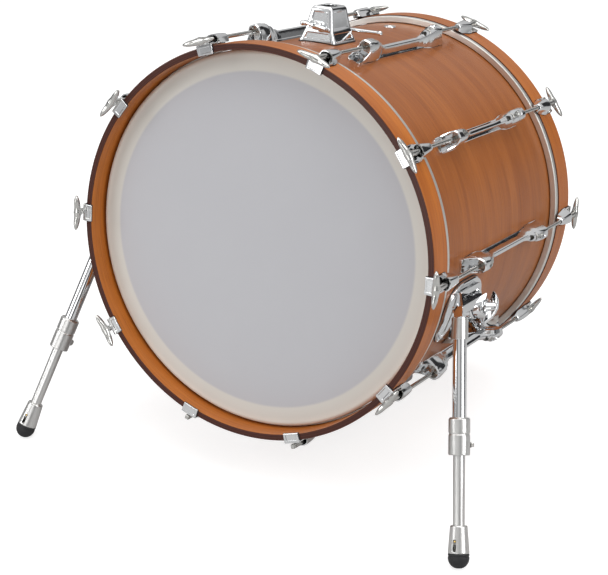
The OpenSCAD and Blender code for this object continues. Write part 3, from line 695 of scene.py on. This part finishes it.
# ---- Spur brackets ----
# A chromed casting on each side, bolted through the shell on a gasket: an arched foot plate, a pivot boss with
# its stud, webs that brace it, and a ledge whose tab reaches out past the arm and has a long slot.
BRACKET_CLOCK = 105.5
BRACKET_Y = 147
to_drum = drum.inverted()
fold = joints["right_spur_fold"]
pivot = to_drum @ Vector(fold["pos_m"]) / MM
out_axis = (to_drum.to_3x3() @ Vector(fold["axis"])).normalized()
across_axis = Vector((0, 1, 0)).cross(out_axis)
# the fold frame: x down the open leg's plane, y to the rear, z out along the pivot
fold_place = Matrix((across_axis, (0, 1, 0), out_axis)).transposed().to_4x4()
fold_place.translation = pivot
ARM_IN = -9.0
ARM_OUT = 7.0
mirror = Matrix.Scale(-1, 4, (1, 0, 0))


def box(x, y, z):
    """A block between low and high on each axis."""
    return lofted([[(x[0], y[0], h), (x[1], y[0], h), (x[1], y[1], h), (x[0], y[1], h)] for h in z])


def disc(r, low, high, steps=64):
    return turned([(0, low), (r, low), (r, high), (0, high)], "z", steps)


def prism(outline, low, high, place=Matrix()):
    return moved(lofted([[(a, b, h) for a, b in outline] for h in (low, high)]), place)


def long_hole(r, half, low, high, steps=32):
    """A prism with round ends, long along y, through heights low to high."""
    angles = [2 * pi * (k + 0.5) / steps for k in range(steps)]
    return prism([(r * sin(a), (half if cos(a) > 0 else -half) + r * cos(a)) for a in angles], low, high)


def arched(half, grow, low, high, edge):
    """The foot's outline, open below the pivot: a strip that follows the shell, less a round-ended gap."""
    gap = moved(long_hole(22 - grow, 40, 250, 330), shift(66, BRACKET_Y, 0) @ turn(90, "Z"))
    return cut(strip(half + grow, BRACKET_Y - 62 - grow, BRACKET_Y + 62 + grow, low, high, 44 + grow, edge), gap)


upright = turn(90, "X")
sideways = Matrix(((0, 0, 1, 0), (1, 0, 0, 0), (0, 1, 0, 0), (0, 0, 0, 1)))
to_clock = clock(BRACKET_CLOCK)
foot_plate = moved(arched(49, 0, SHELL_R + 1.2, SHELL_R + 5.2, 1.2), to_clock)
core = turned([(0, 0), (SHELL_R + 1.3, 0), (SHELL_R + 1.3, DEPTH), (0, DEPTH)], "y", 128)
face_in = ARM_IN - 4
slim = eased([(-30, -80), (-30, face_in), (8, face_in), (12, -34), (42.4, -44), (42.4, -80)], [0, 5, 5, 9, 5, 0])
broad = eased([(-30, -80), (-30, face_in), (42.4, face_in), (42.4, -80)], [0, 5, 5, 0])
tab = [(14, -18), (35.6, -18)] + [(24.8 + 10.8 * cos(a), 4 + 10.8 * sin(a))
                                  for a in [radians(10 * k) for k in range(19)]]
boss = turned([(0, -70), (19, -70), (19, -20), (17.5, -12), (16, ARM_IN - 0.5), (0, ARM_IN - 0.5)], "z", 64)
webs = [prism(slim, 27, 34, upright), prism(broad, -34, -27, upright), box((-30, -23), (-34, 34), (-80, face_in)),
        box((37, 43), (-36, 36), (-60, face_in - 0.5)), prism(tab, 37.2, 42.8, sideways),
        disc(4.0, -30, ARM_OUT + 12, 32)]
slot_cut = moved(long_hole(4, 9, 30, 50), sideways @ shift(24.8, -6, 0))
casting = cut(fused(boss, *webs), slot_cut, box((-60, -25), (-22, 22), (-60, -18)))
casting = cut(moved(casting, fold_place), core)
casting = bevelled(fused(foot_plate, casting), 1.0, 2, 35)
piece("spur_brackets", joined(casting, moved(casting, mirror)), chrome, "drum", "chrome", "spur_bases")
spur_pad = moved(arched(49, 1, SHELL_R + 0.02, SHELL_R + 1.25, 0.3), to_clock)
piece("mounting_gaskets", joined(receiver_pad, spur_pad, moved(spur_pad, mirror)), rubber, "drum", "rubber",
      "mount_gaskets")

# ---- Spur arms ----
# The chromed arm turns on the bracket's stud: a disc, a slim bar and an elbow, cast in one.
# Its elbow is pressed into a satin sleeve that grips the top of the leg.
LEG_OFFSET = 73.0


def both_sides(name, mesh, material, body, slot, nodes, place):
    """One piece on the right and its mirror image on the left; body and nodes are named without their side."""
    for side in ("right", "left"):
        own = mesh if side == "right" else moved(mesh, mirror)
        at = place if side == "right" else mirror @ place @ mirror
        piece(f"{side}_{name}", own, material, f"{side}_{body}", slot, *[f"{side}_{n}" for n in nodes], place=at)


leg_axis = (to_drum.to_3x3() @ Vector(joints["right_leg_extend"]["axis"])).normalized()
leg_side = leg_axis.cross(-out_axis)
# the leg frame: z down the leg, x inwards along the pivot, y to the rear
leg_place = Matrix((-out_axis, leg_side, leg_axis)).transposed().to_4x4()
leg_place.translation = pivot - LEG_OFFSET * leg_side
leg_in_fold = fold_place.inverted() @ leg_place
arm_disc = turned([(4.4, ARM_IN), (14.6, ARM_IN), (16, ARM_IN + 1.4), (16, ARM_OUT - 3), (14, ARM_OUT),
                   (4.4, ARM_OUT)], "z", 64)
arm_bar = prism(eased([(-20, -78), (-9, -78), (-9, 8), (-20, 8)], [5, 3, 4, 4], 5), ARM_IN, ARM_OUT)
elbow = moved(box((-6.3, 6.3), (-6.2, 6.2), (3, 18)), leg_in_fold)
arm_cap = moved(turned([(0, 17.5), (9.6, 17.5), (10.6, 18.4), (10.6, 19.4), (0, 19.4)], "z", 48), leg_in_fold)
arm = bevelled(cut(fused(arm_disc, arm_bar, elbow, arm_cap), disc(4.4, -30, 30, 32)), 1.4, 3, 35)
both_sides("spur_arm", arm, chrome, "spur", "chrome", ["arm"], fold_place)

turned_satin = brushed("turned_satin", (0.72, 0.715, 0.70), 0.30, (60.0, 60.0, 1500.0))
sleeve = turned(eased([(9.75, 19.5), (11.6, 19.5), (11.6, 49), (9.75, 49)], 0.6, 3), "z", 64)
both_sides("leg_sleeve", sleeve, turned_satin, "spur", "satin_aluminium", [], leg_place)

# ---- Fold wing nuts ----
# A big cast and chromed wing nut on each pivot stud locks the arm against the bracket.
# Its wing is one half-moon blade.
nut_hub = turned([(4.05, ARM_OUT + 0.4), (10.4, ARM_OUT + 0.4), (11, ARM_OUT + 1), (11, ARM_OUT + 2.2),
                  (9.4, ARM_OUT + 3.2), (8.2, 15), (7.0, 21), (4.6, 24), (0, 24.8), (0, 19.6), (4.05, 19.4)], "z", 48)
MOON_R = 37.5
half_moon = [(28.5, 10.6)] + [(MOON_R * sin(a), MOON_R * cos(a) - 12.5)
                              for a in [radians(49 - 7 * k) for k in range(15)]]
blade = bevelled(prism(eased(half_moon + [(-28.5, 10.6)], [1] + [0] * 15 + [1]), -2.2, 2.2, upright), 1.3, 3, 40)
fold_nut = joined(nut_hub, moved(blade, turn(-52, "Z")))
both_sides("fold_wing_nut", fold_nut, chrome, "wing_nut", "chrome", ["wing_nut"], fold_place)

# ---- Leg tubes ----
# The chromed upper tube is pressed into the sleeve; a satin collar, split and clamped by a key bolt,
# grips the lower tube that slides inside it.
COLLAR_START = 156.6
COLLAR_END = 208.6
upper = turned([(8.3, 20.1), (9.68, 20.1), (9.68, COLLAR_END - 4), (8.3, COLLAR_END - 4)], "z", 96)
both_sides("upper_leg_tube", upper, chrome, "spur", "chrome", ["upper_tube"], leg_place)

collar_body = turned(eased([(8.7, COLLAR_START), (12.6, COLLAR_START), (15, COLLAR_START + 2.4),
                            (15, COLLAR_START + 21), (14.1, COLLAR_START + 21.8), (14.1, COLLAR_START + 23.6),
                            (15, COLLAR_START + 24.4), (15, COLLAR_END - 1), (14, COLLAR_END),
                            (8.7, COLLAR_END)], 0.4, 2), "z", 96)
ears = box((-7, 7), (6, 18), (COLLAR_START + 27, COLLAR_START + 49))
slit = box((-0.8, 0.8), (0, 40), (COLLAR_START + 24.4, COLLAR_END + 5))
across_ears = shift(0, 14.2, COLLAR_START + 38) @ turn(90, "Y")
pockets = [moved(disc(5.4, low, low + 10, 32), across_ears) for low in (-17.2, 7.2)]
inner = disc(8.7, COLLAR_START - 2, COLLAR_END + 2)
clamp = bevelled(cut(fused(collar_body, ears), inner, slit, *pockets), 0.5, 2, 40)
both_sides("leg_collar", clamp, turned_satin, "spur", "satin_aluminium", ["collar"], leg_place)

bolt = joined(turned([(0, -10.8), (4.0, -10.8), (4.4, -10.2), (4.4, -7.5), (3.0, -7.4), (3.0, 7.3), (4.8, 7.4),
                      (5.0, 8), (5.0, 10.6), (4.4, 11.2), (0, 11.3)], "z", 36),
              lofted([[(x, y, z) for x, y in eased([(-s, -s), (s, -s), (s, s), (-s, s)], 0.5, 2)]
                      for z, s in ((-15, 2.1), (-14.4, 2.6), (-10.5, 2.6))]))
both_sides("collar_key_bolt", bolt, steel, "collar_bolt", "steel", ["collar_bolt"], leg_place @ across_ears)

BALL_AT = 348.68
FOOT_TOP = BALL_AT - 6
satin_tube = brushed("satin_tube", (0.76, 0.755, 0.74), 0.28, (900.0, 900.0, 8.0))
lower = turned([(6.65, 94.6), (8.25, 94.6), (8.25, FOOT_TOP - 12), (6.65, FOOT_TOP - 12)], "z", 96)
both_sides("lower_leg_tube", lower, satin_tube, "lower_leg", "satin_aluminium", ["lower_tube"], leg_place)

# ---- Feet ----
# A satin ferrule and its rubber foot slide up the lower tube and lock there by a sprung brass pin in a slot,
# which bares the steel spike.
FERRULE_TOP = FOOT_TOP - 38
PIN_AT = FERRULE_TOP + 21
ferrule_body = turned(eased([(8.3, FERRULE_TOP), (11.4, FERRULE_TOP), (12.2, FERRULE_TOP + 1.6), (15, FOOT_TOP - 1.2),
                             (14.6, FOOT_TOP), (8.3, FOOT_TOP)], 0.5, 3), "z", 96)
slot_face = shift(0, 0, PIN_AT) @ turn(90, "X")
slot_tool = moved(long_hole(2.4, 6, 5, 30), slot_face @ shift(0, 6, 0))
ferrule = bevelled(cut(ferrule_body, slot_tool), 0.3, 2, 40)
both_sides("foot_ferrule", ferrule, turned_satin, "foot", "satin_aluminium", ["ferrule"], leg_place)

brass = finish("pin_brass", {"Metallic": 1.0}, lambda paint, place: {
    "Base Color": paint.noise(place, 300.0, 2.0).mix((0.62, 0.42, 0.14), (0.78, 0.56, 0.22)),
    "Roughness": paint.noise(place, 90.0, 2.0) * 0.12 + 0.2})
pin = turned([(0, 6.7), (1.9, 6.7), (1.9, 12.2), (1.3, 13.1), (0, 13.3)], "z", 24)
both_sides("foot_lock_pin", pin, brass, "lower_leg", "brass", ["lock_pin"], leg_place @ slot_face)

spike = turned([(0, FOOT_TOP - 27), (6.62, FOOT_TOP - 27), (6.62, FOOT_TOP - 13), (3.6, FOOT_TOP - 12.6),
                (3.6, BALL_AT + 3), (0.7, BALL_AT + 10.8), (0, BALL_AT + 11)], "z", 40)
both_sides("foot_spike", spike, steel, "lower_leg", "steel", ["spike"], leg_place)

ball = [(14.9 * cos(a), BALL_AT + 15 * sin(a)) for a in [radians(6 * k) for k in range(12)] if 15 * sin(a) < 13.9]
rubber_foot = turned([(4.4, FOOT_TOP + 0.1), (14.2, FOOT_TOP + 0.1), (14.9, FOOT_TOP + 0.9), (14.9, FOOT_TOP + 2.6),
                      (14.3, FOOT_TOP + 3.2), (14.3, FOOT_TOP + 4.2), (14.9, FOOT_TOP + 4.8)]
                     + ball + [(5.1, BALL_AT + 14.1), (4.4, BALL_AT + 14.1)], "z", 96)
both_sides("rubber_tip", rubber_foot, rubber, "foot", "rubber", ["rubber_foot"], leg_place)

# ---- Studio ----
# A plain pale floor under four soft boxes and white walls.
# The camera stands in front and to the right, and looks down a little on the drum.
camera = bpy.data.objects.new("camera", bpy.data.cameras.new("camera"))
bpy.context.scene.collection.objects.link(camera)
camera.data.lens = 92.54
camera.location = (1.09343, -1.96598, 1.27312)
camera.rotation_euler = (radians(64.643), radians(1.141), radians(29.604))
bpy.context.scene.camera = camera

HALF_FLOOR = 6.0
floor_mesh = bpy.data.meshes.new("studio_floor")
floor_mesh.from_pydata([(-HALF_FLOOR, -HALF_FLOOR, 0), (HALF_FLOOR, -HALF_FLOOR, 0), (HALF_FLOOR, HALF_FLOOR, 0),
                        (-HALF_FLOOR, HALF_FLOOR, 0)], [], [(0, 1, 2, 3)])
floor = bpy.data.objects.new("studio_floor", floor_mesh)
bpy.context.scene.collection.objects.link(floor)


def floor_paint(paint, place):
    seen = paint.node("LightPath", {}, {}, "Is Camera Ray")
    cloud = paint.noise(paint.node("TexCoord", {}, {}, "Object"), 2.0, 2.0)
    return {"Base Color": cloud.mix((0.50, 0.50, 0.50), (0.53, 0.53, 0.53)),
            "Emission Color": seen.mix((0.0, 0.0, 0.0), (0.72, 0.72, 0.72))}


pale = finish("pale_floor", {"Roughness": 0.9, "Specular IOR Level": 0.1, "Emission Strength": 1.0}, floor_paint)
floor.data.materials.append(pale)

world = bpy.data.worlds.new("studio")
bpy.context.scene.world = world
world.use_nodes = True
sky = Paint(world.node_tree)
toward = sky.node("SeparateXYZ", {}, {"Vector": sky.node("TexCoord", {}, {}, "Generated")})
east, north, height = [Paint(sky.tree, toward.socket.node.outputs[k]) for k in range(3)]
around = sky.math("ARCTAN2", north, east)
# narrow black flags between the white walls give the chrome its dark lines
flags = sky.math("SINE", around * 6 + 0.6).between(0.70, 0.86) * (1 - height.between(0.45, 0.75))
band = (1 - height.math("ABSOLUTE", height - 0.06).between(0.03, 0.10)) * 0.7
walls = height.between(0.0, 0.7).mix((0.50, 0.50, 0.505), (0.66, 0.66, 0.66))
room = sky.math("MAXIMUM", flags, band).mix(walls, (0.03, 0.03, 0.032))
backdrop = sky.node("LightPath", {}, {}, "Is Camera Ray").mix(room, (0.96, 0.96, 0.96))
sky.feed(world.node_tree.nodes["Background"].inputs["Color"], backdrop)


def softbox(name, at, size, power):
    lamp = bpy.data.objects.new(name, bpy.data.lights.new(name, "AREA"))
    lamp.data.shape, lamp.data.size, lamp.data.size_y, lamp.data.energy = "RECTANGLE", size[0], size[1], power
    lamp.location = at
    lamp.rotation_euler = (Vector((0, 0, 0.3)) - Vector(at)).to_track_quat("-Z", "Y").to_euler()
    bpy.context.scene.collection.objects.link(lamp)


softbox("overhead_box", (0.2, -0.2, 2.8), (2.6, 2.2), 33)
softbox("left_box", (-2.2, -2.2, 1.7), (1.2, 1.6), 28)
softbox("right_box", (2.6, -0.4, 1.5), (0.9, 1.8), 30)
softbox("low_box", (-0.3, -3.0, 0.5), (2.2, 0.8), 11)
bpy.context.scene.view_settings.view_transform = "Standard"
